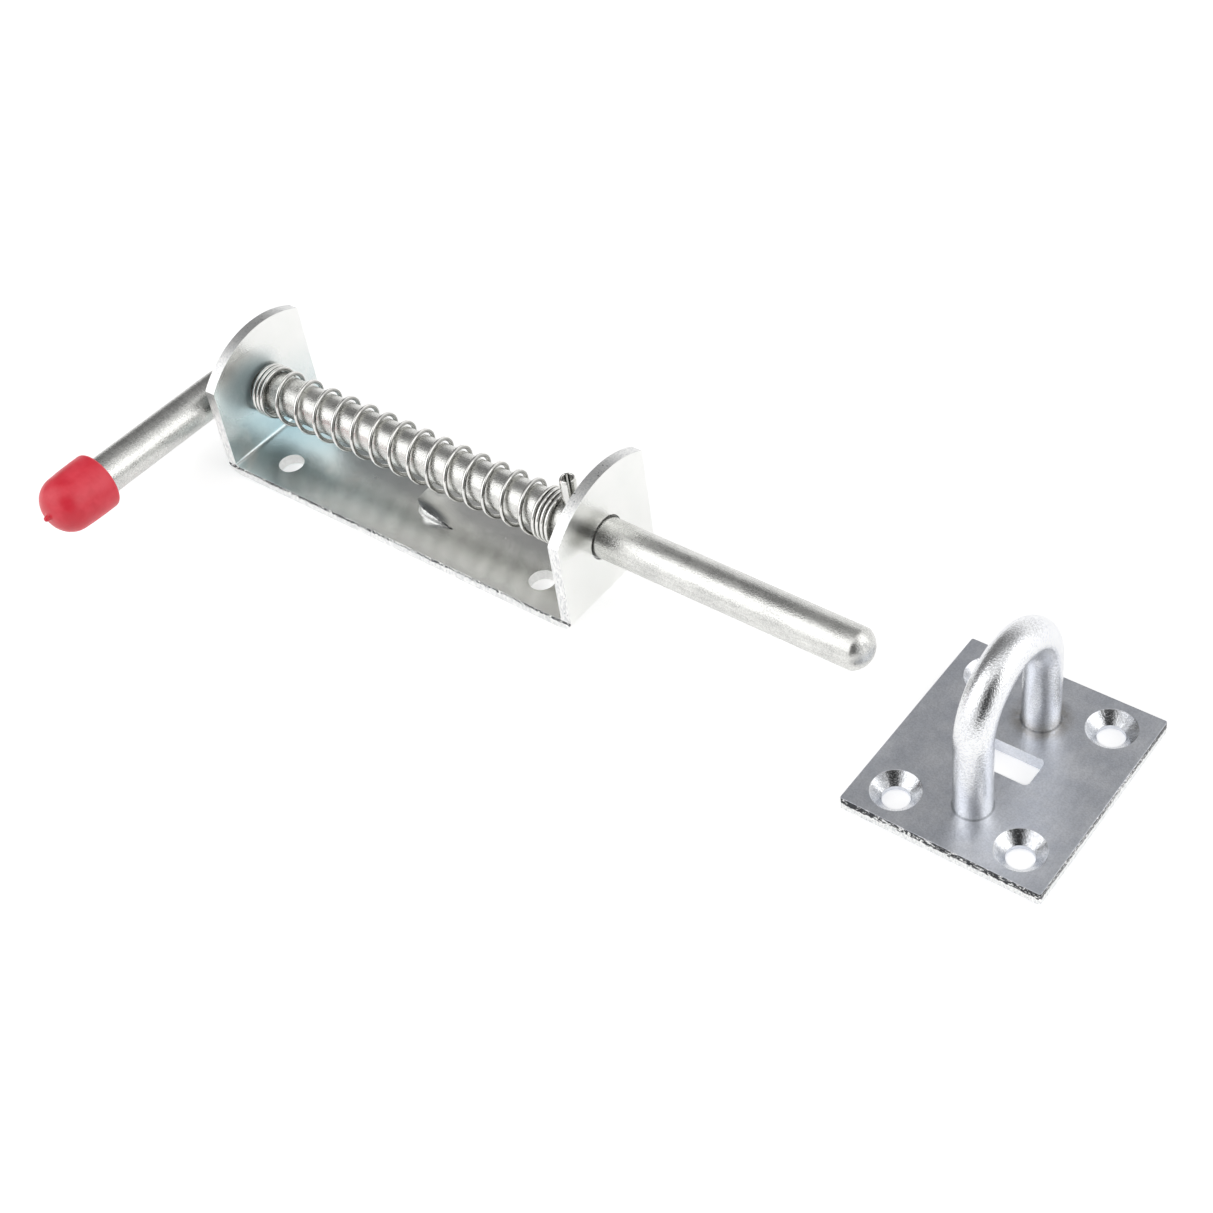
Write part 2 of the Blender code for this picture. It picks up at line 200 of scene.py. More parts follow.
def new_piece(name, rings):
    bm = bmesh.new()
    add_rings(bm, rings)
    mesh = bpy.data.meshes.new(name)
    bm.to_mesh(mesh)
    bm.free()
    mesh.transform(Matrix.Translation((MIDDLE_X, 0, 0)))
    obj = bpy.data.objects.new(name, mesh)
    bpy.context.scene.collection.objects.link(obj)
    return obj


def circle(radius, sides=HOLE_SIDES):
    angles = [2 * math.pi * i / sides for i in range(sides)]
    return [(radius * math.cos(angle), radius * math.sin(angle)) for angle in angles]


def arc(centre, radius, start, end, steps):
    angles = [start + (end - start) * i / steps for i in range(steps + 1)]
    return [(centre[0] + radius * math.cos(a), centre[1] + radius * math.sin(a)) for a in angles]


def rounded_rectangle(centre, length, width, radius, steps=CORNER_STEPS):
    x, y = length / 2 - radius, width / 2 - radius
    corners = ((x, y, 0), (-x, y, 1), (-x, -y, 2), (x, -y, 3))
    points = []
    for cx, cy, quarter in corners:
        start = quarter * math.pi / 2
        points += arc((centre[0] + cx, centre[1] + cy), radius, start, start + math.pi / 2, steps)
    return points


def along_x(outline, start, end):
    return [[(x, a, b) for a, b in outline] for x in (start, end)]


def along_y(outline, start, end):
    return [[(a, y, b) for a, b in outline] for y in (start, end)]


def along_z(outline, start, end):
    return [[(a, b, z) for a, b in outline] for z in (start, end)]


def combine(obj, other, operation):
    """Applies one Boolean and removes its second mesh."""
    modifier = obj.modifiers.new("combine", "BOOLEAN")
    modifier.operation = operation
    modifier.solver = "EXACT"
    modifier.object = other
    apply_modifiers(obj)
    bpy.data.objects.remove(other, do_unlink=True)


def apply_modifiers(obj):
    bpy.context.view_layer.update()
    graph = bpy.context.evaluated_depsgraph_get()
    mesh = bpy.data.meshes.new_from_object(obj.evaluated_get(graph), depsgraph=graph)
    old = obj.data
    obj.modifiers.clear()
    obj.data = mesh
    bpy.data.meshes.remove(old)


def break_edges(obj, angle=EDGE_BREAK_ANGLE):
    """Rounds the sharp edges of a cut sheet by a hair, as punching and plating leave them."""
    modifier = obj.modifiers.new("edge_break", "BEVEL")
    modifier.width = EDGE_BREAK
    modifier.segments = 3
    modifier.limit_method = "ANGLE"
    modifier.angle_limit = angle
    modifier.use_clamp_overlap = True
    modifier.miter_outer = "MITER_ARC"
    apply_modifiers(obj)


def smooth(obj, angle=SMOOTH_ANGLE):
    obj.data.shade_smooth()
    obj.data.set_sharp_from_angle(angle=angle)


def keep_flats_flat(obj):
    """Lets the large faces rule the normals, so that a rounded edge does not bend the light beside it."""
    modifier = obj.modifiers.new("flat_faces", "WEIGHTED_NORMAL")
    modifier.mode = "FACE_AREA"
    modifier.weight = FLAT_WEIGHT
    modifier.keep_sharp = True
    apply_modifiers(obj)


def bracket_section():
    """The folded sheet from the side, with ears that run on above their arches."""
    half = BRACKET_LENGTH / 2
    outer = BEND_INSIDE_RADIUS + SHEET
    rise = EAR_HEIGHT + CUT_MARGIN
    left, down, right = math.pi, 1.5 * math.pi, 2 * math.pi
    rear, front = (-half + outer, outer), (half - outer, outer)
    outside = [(-half, rise)] + arc(rear, outer, left, down, BEND_STEPS)
    outside += arc(front, outer, down, right, BEND_STEPS) + [(half, rise)]
    inside = [(half - SHEET, rise)] + arc(front, BEND_INSIDE_RADIUS, right, down, BEND_STEPS)
    inside += arc(rear, BEND_INSIDE_RADIUS, down, left, BEND_STEPS) + [(-half + SHEET, rise)]
    return outside + inside


def ear_outline():
    half = BRACKET_WIDTH / 2
    middle = (EAR_CROWN_Y, EAR_HEIGHT - EAR_ARCH_RADIUS)
    start = math.acos((half - EAR_CROWN_Y) / EAR_ARCH_RADIUS)
    end = math.pi - math.acos((half + EAR_CROWN_Y) / EAR_ARCH_RADIUS)
    arch = arc(middle, EAR_ARCH_RADIUS, start, end, ARCH_STEPS)
    return [(-half, -CUT_MARGIN), (half, -CUT_MARGIN)] + arch


def tab_section():
    """The raised tab from the side."""
    rise, run = math.sin(TAB_ANGLE), math.cos(TAB_ANGLE)
    slope = math.tan(TAB_ANGLE)
    end_x, end_z = TAB_HINGE_X - TAB_LENGTH * run, SHEET + TAB_LENGTH * rise
    under_z = TAB_SLIT / 2
    under_x = TAB_HINGE_X - SHEET * math.tan(TAB_ANGLE / 2) - under_z / slope
    return [
        (TAB_HINGE_X + TAB_ROOT, SHEET - TAB_ROOT * slope),
        (end_x, end_z),
        (end_x - SHEET * rise, end_z - SHEET * run),
        (under_x, under_z),
        (TAB_HINGE_X + TAB_ROOT, 2 * under_z),
    ]


def tab_plan(front_x, slit):
    """The tab from above, or the opening it was cut from when there is a slit."""
    rear_x = TAB_HINGE_X - TAB_LENGTH * math.cos(TAB_ANGLE) - SHEET * math.sin(TAB_ANGLE) - slit
    length = front_x - rear_x + TAB_CORNER_RADIUS
    half = TAB_WIDTH / 2 + slit
    plan = rounded_rectangle((rear_x + length / 2, 0), length, 2 * half, TAB_CORNER_RADIUS + slit)
    return [(min(x, front_x), y) for x, y in plan]


def drill(obj, x, y, radius, bottom, top):
    outline = [(x + a, y + b) for a, b in circle(radius)]
    combine(obj, new_piece("cutter", along_z(outline, bottom, top)), "DIFFERENCE")


def make_bracket():
    reach = BRACKET_WIDTH / 2 + CUT_MARGIN
    span = BRACKET_LENGTH / 2 + CUT_MARGIN
    bracket = new_piece("folded_bracket", along_y(bracket_section(), -reach, reach))
    combine(bracket, new_piece("ears", along_x(ear_outline(), -span, span)), "INTERSECT")
    guide = [(a, ROD_AXIS_HEIGHT + b) for a, b in circle(ROD_RADIUS + GUIDE_CLEARANCE)]
    combine(bracket, new_piece("guide", along_x(guide, -span, span)), "DIFFERENCE")
    for side_x in (-1, 1):
        for side_y in (-1, 1):
            x, y = side_x * SCREW_PITCH_X / 2, side_y * SCREW_PITCH_Y / 2
            drill(bracket, x, y, SCREW_HOLE_RADIUS, -CUT_MARGIN, SHEET + CUT_MARGIN)
    opening = along_z(tab_plan(TAB_HINGE_X - TAB_SLIT, TAB_SLIT), -CUT_MARGIN, SHEET + CUT_MARGIN)
    combine(bracket, new_piece("opening", opening), "DIFFERENCE")
    half = TAB_WIDTH / 2 + CUT_MARGIN
    tab = new_piece("tab", along_y(tab_section(), -half, half))
    plan = along_z(tab_plan(TAB_HINGE_X + TAB_ROOT + CUT_MARGIN, 0), -CUT_MARGIN, EAR_HEIGHT)
    combine(tab, new_piece("plan", plan), "INTERSECT")
    combine(bracket, tab, "UNION")
    break_edges(bracket)
    smooth(bracket)
    keep_flats_flat(bracket)
    return bracket


def bar_ring(centre, direction, radius, sides=BAR_SIDES):
    across = Vector((0, 0, 1)).cross(direction).normalized()
    up = direction.cross(across)
    return [centre + across * a + up * b for a, b in circle(radius, sides)]


def handle_way():
    return Vector((0, -math.cos(HANDLE_RISE), math.sin(HANDLE_RISE)))


def tip_rings(ahead):
    """The domed tip, a cap of a sphere that meets the bar in a slightly worn crease."""
    sphere = (ROD_RADIUS**2 + TIP_DOME**2) / (2 * TIP_DOME)
    reach = math.asin(ROD_RADIUS / sphere)
    rings = []
    for i in range(TIP_RINGS):
        angle = TIP_CREASE * reach * (i + TIP_FIRST_RING) / (TIP_RINGS - 1 + TIP_FIRST_RING)
        x = TIP_X - sphere * (1 - math.cos(angle))
        rings.append(bar_ring(Vector((x, 0, ROD_AXIS_HEIGHT)), ahead, sphere * math.sin(angle)))
    return rings


def make_rod():
    ahead, aside = Vector((-1, 0, 0)), handle_way()
    corner = Vector((HANDLE_X, 0, ROD_AXIS_HEIGHT))
    rings = tip_rings(ahead)
    start, end = TIP_X - TIP_DOME - DOME_GAP, HANDLE_X + HANDLE_BEND_RADIUS
    for i in range(ROD_STEPS + 1):
        centre = Vector((start + (end - start) * i / ROD_STEPS, 0, ROD_AXIS_HEIGHT))
        rings.append(bar_ring(centre, ahead, ROD_RADIUS))
    turn = corner + (aside - ahead) * HANDLE_BEND_RADIUS
    for i in range(1, HANDLE_BEND_STEPS + 1):
        angle = math.pi / 2 * i / HANDLE_BEND_STEPS
        outward = ahead * math.sin(angle) - aside * math.cos(angle)
        direction = ahead * math.cos(angle) + aside * math.sin(angle)
        rings.append(bar_ring(turn + outward * HANDLE_BEND_RADIUS, direction, ROD_RADIUS))
    for back, inset in ((HANDLE_CHAMFER, 0), (0, HANDLE_CHAMFER)):
        rings.append(bar_ring(corner + aside * (HANDLE_REACH - back), aside, ROD_RADIUS - inset))
    rod = new_piece("bent_bolt_bar", rings)
    smooth(rod)
    return rod


def cap_profile():
    """Radius and distance along the handle, from the cap's bore round its rim to the moulding nib."""
    inner = ROD_RADIUS + CAP_GAP
    bore_end = HANDLE_REACH + CAP_END_GAP
    profile = [(CAP_END_GAP, bore_end), (inner, bore_end), (inner, CAP_RIM + CAP_INNER_LIP)]
    lip = (inner + CAP_INNER_LIP, CAP_RIM + CAP_INNER_LIP)
    profile += arc(lip, CAP_INNER_LIP, math.pi, 1.5 * math.pi, 4)[1:]
    lip = (CAP_RADIUS - CAP_OUTER_LIP, CAP_RIM + CAP_OUTER_LIP)
    profile += arc(lip, CAP_OUTER_LIP, -math.pi / 2, 0, 6)
    profile += [(CAP_RADIUS - inset, CAP_RIM + distance) for inset, distance in CAP_SIDE]
    end_round = CAP_RADIUS - CAP_TAPER - CAP_END_FLAT
    profile += arc((CAP_END_FLAT, CAP_END - end_round), end_round, 0, math.pi / 2, CAP_END_STEPS)
    return profile + [(radius, CAP_END + height) for radius, height in NIB_PROFILE]


def make_cap():
    aside = handle_way()
    start = Vector((HANDLE_X, 0, ROD_AXIS_HEIGHT))
    rings = [bar_ring(start + aside * distance, aside, radius) for radius, distance in cap_profile()]
    cap = new_piece("dipped_grip_cap", rings)
    smooth(cap, ROUND_SMOOTH_ANGLE)
    return cap


def pin_section(outer_radius, inner_radius):
    """The rolled tube with its open slit, from above."""
    outer_slit = math.asin(PIN_SLOT / 2 / outer_radius)
    inner_slit = math.asin(PIN_SLOT / 2 / inner_radius)
    turn, whole = PIN_SLOT_TURN, 2 * math.pi
    outside = arc((PIN_X, 0), outer_radius, turn + outer_slit, turn + whole - outer_slit, PIN_STEPS)
    inside = arc((PIN_X, 0), inner_radius, turn + whole - inner_slit, turn + inner_slit, PIN_STEPS)
    return outside + inside


def make_pin():
    inner = PIN_RADIUS - PIN_WALL
    levels = (
        (PIN_BOTTOM, PIN_RADIUS - PIN_CHAMFER, inner),
        (PIN_BOTTOM + 2 * PIN_CHAMFER, PIN_RADIUS, inner),
        (PIN_TOP - 2 * PIN_CHAMFER, PIN_RADIUS, inner),
        (PIN_TOP - PIN_LIP, PIN_RADIUS - PIN_CHAMFER * 0.8, inner),
        (PIN_TOP, PIN_RADIUS - PIN_CHAMFER - PIN_LIP, inner + PIN_LIP),
    )
    rings = [[(a, b, z) for a, b in pin_section(outer, bore)] for z, outer, bore in levels]
    pin = new_piece("slotted_spring_pin", rings)
    smooth(pin, PIN_SMOOTH_ANGLE)
    return pin


def spring_x(turn):
    """Where a turn lies along the bar: closed at both ends, and a little wider at the rear."""
    closed = CLOSED_PITCH * (REAR_CLOSED_TURNS + FRONT_CLOSED_TURNS)
    opened = min(max(turn - REAR_CLOSED_TURNS, 0), OPEN_TURNS)
    share = opened / OPEN_TURNS
    share += REAR_PITCH_EXCESS * share * (1 - share)
    length = SPRING_END_X - SPRING_START_X - closed
    return SPRING_START_X + CLOSED_PITCH * (turn - opened) + length * share


def spring_point(turn):
    angle = SPRING_PHASE + 2 * math.pi * turn
    y, z = SPRING_RADIUS * math.cos(angle), SPRING_RADIUS * math.sin(angle)
    return Vector((spring_x(turn), y, SPRING_AXIS_HEIGHT + z))


def make_spring():
    turns = REAR_CLOSED_TURNS + OPEN_TURNS + FRONT_CLOSED_TURNS
    steps = round(turns * WIRE_STEPS_PER_TURN)
    rings = []
    for i in range(steps + 1):
        turn = turns * i / steps
        centre = spring_point(turn)
        tangent = (spring_point(turn + 0.01) - spring_point(turn - 0.01)).normalized()
        radial = (centre - Vector((centre.x, 0, SPRING_AXIS_HEIGHT))).normalized()
        other = tangent.cross(radial).normalized()
        radius = WIRE_RADIUS * (WIRE_END_SHARE if i in (0, steps) else 1.0)
        rings.append([centre + radial * a + other * b for a, b in circle(radius, WIRE_SIDES)])
    spring = new_piece("coil_spring", rings)
    smooth(spring, ROUND_SMOOTH_ANGLE)
    return spring


def make_keep_plate():
    outline = rounded_rectangle((KEEP_X, 0), KEEP_LENGTH, KEEP_WIDTH, PLATE_CORNER_RADIUS, 3)
    plate = new_piece("keep_base_plate", along_z(outline, 0, KEEP_THICKNESS))
    top = KEEP_THICKNESS
    flare = (COUNTERSINK_RADIUS - KEEP_HOLE_RADIUS) / COUNTERSINK_DEPTH
    levels = (
        (-CUT_MARGIN, KEEP_HOLE_RADIUS),
        (top - COUNTERSINK_DEPTH, KEEP_HOLE_RADIUS),
        (top + CUT_MARGIN, COUNTERSINK_RADIUS + flare * CUT_MARGIN),
    )
    for side_x in (-1, 1):
        for side_y in (-1, 1):
            x, y = KEEP_X + side_x * KEEP_HOLE_PITCH_X / 2, side_y * KEEP_HOLE_PITCH_Y / 2
            rings = [[(x + a, y + b, z) for a, b in circle(radius)] for z, radius in levels]
            combine(plate, new_piece("countersink", rings), "DIFFERENCE")
    slot = rounded_rectangle((STAPLE_X, 0), SLOT_LENGTH, SLOT_WIDTH, SLOT_CORNER_RADIUS)
    rings = along_z(slot, -CUT_MARGIN, top + CUT_MARGIN)
    combine(plate, new_piece("slot", rings), "DIFFERENCE")
    break_edges(plate, PLATE_BREAK_ANGLE)
    smooth(plate)
    keep_flats_flat(plate)
    return plate


def make_staple():
    half = STAPLE_SPREAD / 2
    spring_line = STAPLE_HEIGHT - STAPLE_WIRE_RADIUS - half
    path = [(-half, STAPLE_FOOT + spring_line * i / LEG_STEPS, 0) for i in range(LEG_STEPS)]
    for i in range(ARCH_STEPS + 1):
        angle = math.pi * i / ARCH_STEPS
        path.append((-half * math.cos(angle), spring_line + half * math.sin(angle), angle))
    path += [(half, z, math.pi) for _, z, _ in reversed(path[:LEG_STEPS])]
    rings = []
    for y, z, angle in path:
        inward = Vector((0, math.cos(angle), -math.sin(angle)))
        ring = circle(STAPLE_WIRE_RADIUS, BAR_SIDES)
        rings.append([Vector((STAPLE_X + a, y, z)) + inward * b for a, b in ring])
    staple = new_piece("staple_loop", rings)
    smooth(staple)
    return staple


# Materials
class Nodes:
    """A short way to write a node tree."""

    def __init__(self, tree):
        self.tree = tree

    def add(self, kind, inputs=None, **settings):
        node = self.tree.nodes.new(kind)
        for name, value in settings.items():
            setattr(node, name, value)
        for name, value in (inputs or {}).items():
            if isinstance(value, bpy.types.NodeSocket):
                self.tree.links.new(value, node.inputs[name])
            else:
                node.inputs[name].default_value = value
        return node

    def link(self, output, socket):
        self.tree.links.new(output, socket)

    def math(self, operation, a, b=0.0):
        return self.add("ShaderNodeMath", {0: a, 1: b}, operation=operation).outputs[0]

    def times(self, a, b):
        return self.math("MULTIPLY", a, b)

    def split(self, vector):
        return self.add("ShaderNodeSeparateXYZ", {0: vector}).outputs

    def grey(self, level):
        return self.add("ShaderNodeCombineColor", {0: level, 1: level, 2: level}).outputs[0]

    def ramp(self, value, low, high, to_low=0.0, to_high=1.0, smoothly=True):
        kind = "SMOOTHSTEP" if smoothly else "LINEAR"
        inputs = {"Value": value, "From Min": low, "From Max": high, "To Min": to_low, "To Max": to_high}
        return self.add("ShaderNodeMapRange", inputs, interpolation_type=kind, clamp=True).outputs[0]

    def mix(self, share, a, b, blend="MIX"):
        node = self.add("ShaderNodeMix", data_type="RGBA", blend_type=blend)
        for index, value in ((0, share), (6, a), (7, b)):
            if isinstance(value, bpy.types.NodeSocket):
                self.tree.links.new(value, node.inputs[index])
            elif index:
                node.inputs[index].default_value = (*value, 1.0)
            else:
                node.inputs[index].default_value = value
        return node.outputs[2]

    def noise(self, vector, scale, detail=3.0, roughness=0.55, distortion=0.0):
        inputs = {"Vector": vector, "Scale": scale, "Detail": detail}
        inputs |= {"Roughness": roughness, "Distortion": distortion}
        return self.add("ShaderNodeTexNoise", inputs).outputs["Fac"]

    def cells(self, vector, scale):
        return self.add("ShaderNodeTexVoronoi", {"Vector": vector, "Scale": scale}, feature="F1").outputs

    def vector(self, operation, a, b=(0, 0, 0), output=0):
        return self.add("ShaderNodeVectorMath", {0: a, 1: b}, operation=operation).outputs[output]

    def near(self, place, centre, inner, outer, scale=(1, 1, 1)):
        """1 within the inner distance of a point, 0 beyond the outer one."""
        offset = self.vector("MULTIPLY", self.vector("SUBTRACT", place, centre), scale)
        return self.ramp(self.vector("LENGTH", offset, output="Value"), inner, outer, 1.0, 0.0)

    def stain_and_shade(self, share, colour, factor):
        """Multiplies the colour by a factor, as far as the share says; used for stains and for painted shade
        alike.
        """
        return self.mix(share, colour, self.mix(1.0, colour, factor, "MULTIPLY"))

    def stretched(self, vector, scale):
        return self.add("ShaderNodeMapping", {"Vector": vector, "Scale": scale}).outputs[0]


def start_material(name):
    material = bpy.data.materials.new(name)
    material.use_nodes = True
    tree = material.node_tree
    return material, Nodes(tree), tree.nodes["Principled BSDF"]


def sheet_tint_and_shade(n, place, colour):
    """Teal passivation round the rear ear; teal with painted shade on the rear ear by the spring and on the
    base under the spring; painted shade beside the bar's hole in the front ear, where the bar runs through
    it, and along the top of the raised tab's near edge.
    """
    clouds = n.noise(place, 120.0, 3.0, 0.6, 0.8)
    cast = n.near(place, (-0.090, -0.002, 0.003), 0.004, 0.062, (1, 1, 2.6))
    colour = n.stain_and_shade(n.times(cast, n.ramp(clouds, 0.30, 0.52, 0.4, 1.0)), colour, (0.79, 0.88, 0.91))
    # Teal tint darkened as painted shade, on the base under the spring toward the rear ear.
    corner = n.near(place, (-0.085, 0.007, 0.003), 0.003, 0.019, (1, 1, 2.5))
    colour = n.stain_and_shade(corner, colour, (0.70, 0.78, 0.82))
    # Teal chromate on the rear ear by the spring, darkened further as painted shade; the same patch also
    # dulls the plating a little.
    chromate_and_painted_shade = n.near(place, (-0.0945, -0.0045, 0.0220), 0.003, 0.0115, (1, 0.9, 1.15))
    colour = n.stain_and_shade(n.times(chromate_and_painted_shade, n.ramp(clouds, 0.32, 0.50, 0.6, 1.0)), colour, (0.52, 0.62, 0.65))
    # Painted shade beside the bar's hole on the front ear, darkening the plating as a dark reflection would.
    painted_hole_shade = n.near(place, (0.0150, -0.0070, 0.0245), 0.001, 0.0085, (1, 0.85, 1.6))
    colour = n.stain_and_shade(painted_hole_shade, colour, (0.54, 0.54, 0.52))
    # Painted shade: a thin dark line along the top of the raised tab's near edge.
    tab_x = MIDDLE_X + TAB_HINGE_X - 0.6 * TAB_LENGTH
    lip = n.near(place, (tab_x, -TAB_WIDTH / 2, SHEET + 0.0024), 0.0010, 0.0026, (0.3, 1, 0.5))
    lip = n.times(lip, n.ramp(n.split(place)["Z"], SHEET + 0.0004, SHEET + 0.0009))
    return n.stain_and_shade(lip, colour, (0.36, 0.37, 0.40)), n.times(chromate_and_painted_shade, REAR_EAR_PATCH_DULLNESS)


def wire_flank_shade(n, place, colour):
    """Painted shade on the wire's flanks, the sides facing along the coil, where neighbouring turns would
    shade the wire.
    """
    facing = n.split(n.add("ShaderNodeNewGeometry").outputs["Normal"])["X"]
    # Painted shade: the wire darkens where its normal faces along the bar.
    painted_flank_shade = n.ramp(n.math("ABSOLUTE", facing), 0.62, 0.95)
    return n.stain_and_shade(painted_flank_shade, colour, (0.42, 0.42, 0.41)), 0.0


def plate_marks(n, place, colour):
    """Dark rims and a brown bloom where the staple's legs stand in the plate, and a few small pits."""
    leg_x, leg_y = MIDDLE_X + STAPLE_X, STAPLE_SPREAD / 2
    clouds = n.noise(place, 420.0, 3.0, 0.6)
    bloom = n.near(place, (leg_x, leg_y, KEEP_THICKNESS), 0.0044, 0.0078)
    colour = n.stain_and_shade(n.times(bloom, n.ramp(clouds, 0.36, 0.56, 0.3, 0.9)), colour, (0.66, 0.62, 0.56))
    for side in (-1, 1):
        rim = n.near(place, (leg_x, side * leg_y, KEEP_THICKNESS), 0.00425, 0.0046)
        colour = n.stain_and_shade(n.times(rim, 0.6), colour, (0.30, 0.31, 0.32))
    cells = n.cells(place, 190.0)
    rare = n.ramp(n.add("ShaderNodeSeparateColor", {0: cells["Color"]}).outputs[0], 0.82, 0.84)
    pits = n.times(n.ramp(cells["Distance"], 0.03, 0.07, 1.0, 0.0), rare)
    return n.stain_and_shade(n.times(pits, 0.8), colour, (0.35, 0.36, 0.38)), 0.0


def no_marks(n, place, colour):
    return colour, 0.0


def zinc(name, light, dark, rough, stretch, grain_depth, cloud, sparkle, specks=0.0, marks=no_marks):
    """Bright zinc plate: grain along the metal, cloudy roughness, a fine sparkle and small specks.

    The marks return the colour with their stains and painted shade, and what they add to the roughness.
    """
    material, n, shader = start_material(name)
    place = n.add("ShaderNodeTexCoord").outputs["Object"]
    grain = n.noise(n.stretched(place, stretch), 1.0, 4.0, 0.65)
    clouds = n.noise(place, CLOUD_SCALE, 4.0, 0.6)
    pitting = n.noise(place, PIT_SCALE, 2.0, 0.6)
    colour = n.mix(n.ramp(clouds, 0.3, 0.72), dark, light)
    shade = n.ramp(grain, 0.3, 0.7, 1.0 - GRAIN_SHADE * grain_depth, 1.0, smoothly=False)
    shade = n.times(shade, n.ramp(pitting, 0.35, 0.65, 1.0 - PIT_SHADE * sparkle, 1.0))
    colour = n.mix(1.0, colour, n.grey(shade), "MULTIPLY")
    if specks:
        spot = n.ramp(n.cells(place, SPECK_SCALE)["Distance"], 0.035, 0.07, 1.0, 0.0)
        rare = n.ramp(n.noise(place, 90.0, 1.0), 0.62, 0.66)
        colour = n.mix(n.times(n.times(spot, rare), specks), colour, (0.95, 0.95, 0.93))
    colour, dull = marks(n, place, colour)
    n.link(colour, shader.inputs["Base Color"])
    cloudy, grainy = CLOUD_ROUGHNESS * cloud, GRAIN_ROUGHNESS * grain_depth
    uneven = n.math("ADD", n.times(clouds, cloudy), n.times(grain, grainy))
    uneven = n.math("ADD", uneven, dull)
    n.link(n.math("ADD", uneven, rough - (cloudy + grainy) / 2), shader.inputs["Roughness"])
    shader.inputs["Metallic"].default_value = 1.0
    height = n.math("ADD", n.times(grain, grain_depth), n.times(clouds, 0.6))
    waves = n.add("ShaderNodeBump", {"Height": height, "Strength": 0.35, "Distance": WAVE_DEPTH})
    fine = {"Height": pitting, "Strength": sparkle, "Distance": PIT_DEPTH, "Normal": waves.outputs[0]}
    n.link(n.add("ShaderNodeBump", fine).outputs[0], shader.inputs["Normal"])
    return material


def tab_rise(n, parts):
    """How far the raised tab lifts its own edge at a place, 0 elsewhere."""
    hinge = MIDDLE_X + TAB_HINGE_X
    end, rise = hinge - TAB_LENGTH * math.cos(TAB_ANGLE), TAB_LENGTH * math.sin(TAB_ANGLE)
    beside = n.math("LESS_THAN", n.math("ABSOLUTE", parts["Y"]), TAB_WIDTH / 2 + 0.001)
    return n.times(beside, n.ramp(parts["X"], end, hinge, rise, 0.0, smoothly=False))


def cut_edge(name, top, scored, depth):
    """A sheared edge: bright and torn, with dark nicks in a band below the corner where the shear began."""
    material, n, shader = start_material(name)
    place = n.add("ShaderNodeTexCoord").outputs["Object"]
    parts = n.split(place)
    height = n.math("SUBTRACT", parts["Z"], tab_rise(n, parts)) if top == SHEET else parts["Z"]
    torn = n.noise(n.stretched(place, (2600.0, 2600.0, 900.0)), 1.0, 4.0, 0.7)
    nicks = n.noise(n.stretched(place, (1300.0, 1300.0, 2300.0)), 1.0, 3.0, 0.7)
    broad = n.noise(place, 70.0, 2.0)
    colour = n.mix(n.ramp(torn, 0.34, 0.6), (0.66, 0.67, 0.68), (0.94, 0.94, 0.93))
    band = n.ramp(height, top - depth - 0.0008, top - depth)
    band = n.times(band, n.ramp(height, top, top + 0.0003, 1.0, 0.0))
    score = n.math("ADD", n.times(nicks, 1.8), n.times(broad, 0.6))
    nicked = n.ramp(n.math("ADD", score, n.times(band, scored)), 1.50, 1.62)
    n.link(n.mix(nicked, colour, NICK_COLOUR), shader.inputs["Base Color"])
    n.link(n.ramp(torn, 0.3, 0.7, 0.45, 0.28), shader.inputs["Roughness"])
    shader.inputs["Metallic"].default_value = 1.0
    bump = n.add("ShaderNodeBump", {"Height": torn, "Strength": 0.6, "Distance": 0.00010})
    n.link(bump.outputs[0], shader.inputs["Normal"])
    return material


def vinyl():
    """Soft dipped vinyl with a faintly dusty, uneven skin."""
    material, n, shader = start_material("red_dipped_vinyl")
    place = n.add("ShaderNodeTexCoord").outputs["Object"]
    clouds = n.noise(place, 150.0, 3.0, 0.55)
    dust = n.noise(place, 1800.0, 2.0, 0.6)
    colour = n.mix(n.ramp(clouds, 0.35, 0.7), (0.73, 0.026, 0.050), (0.84, 0.060, 0.090))
    n.link(colour, shader.inputs["Base Color"])
    n.link(n.ramp(clouds, 0.3, 0.7, 0.30, 0.44), shader.inputs["Roughness"])
    shader.inputs["Specular IOR Level"].default_value = 0.5
    shader.inputs["Subsurface Weight"].default_value = 0.12
    shader.inputs["Subsurface Radius"].default_value = (1.0, 0.2, 0.1)
    shader.inputs["Subsurface Scale"].default_value = 0.001
    height = n.math("ADD", clouds, n.times(dust, 0.12))
    bump = n.add("ShaderNodeBump", {"Height": height, "Strength": 0.5, "Distance": 0.0002})
    n.link(bump.outputs[0], shader.inputs["Normal"])
    return material


def sheet_direction(x, z):
    """The sheet's own normal at a place on the bracket, as seen from the side."""
    flat = BRACKET_LENGTH / 2 - SHEET - BEND_INSIDE_RADIUS
    high = SHEET + BEND_INSIDE_RADIUS
    if z > high and abs(x) > flat - 0.0001:
        return Vector((1, 0, 0))
    if z > high:
        return Vector((math.sin(TAB_ANGLE), 0, math.cos(TAB_ANGLE)))
    if abs(x) <= flat:
        return Vector((0, 0, 1))
    side = math.copysign(flat, x)
    return Vector((x - side, 0, z - high)).normalized()


def mark_bracket_edges(bracket):
    """Gives the cut edges the sheared coat, and the walls of the screw holes the punched one."""
    for face in bracket.data.polygons:
        centre = face.center - Vector((MIDDLE_X, 0, 0))
        across = sheet_direction(centre.x, centre.z)
        face.material_index = 1 if abs(face.normal.dot(across)) < EDGE_ON else 0
        in_hole = abs(abs(centre.x) - SCREW_PITCH_X / 2) < 0.005
        in_hole = in_hole and abs(centre.y) < BRACKET_WIDTH / 2 - 0.002
        if face.material_index and in_hole and centre.z < SHEET:
            face.material_index = 2


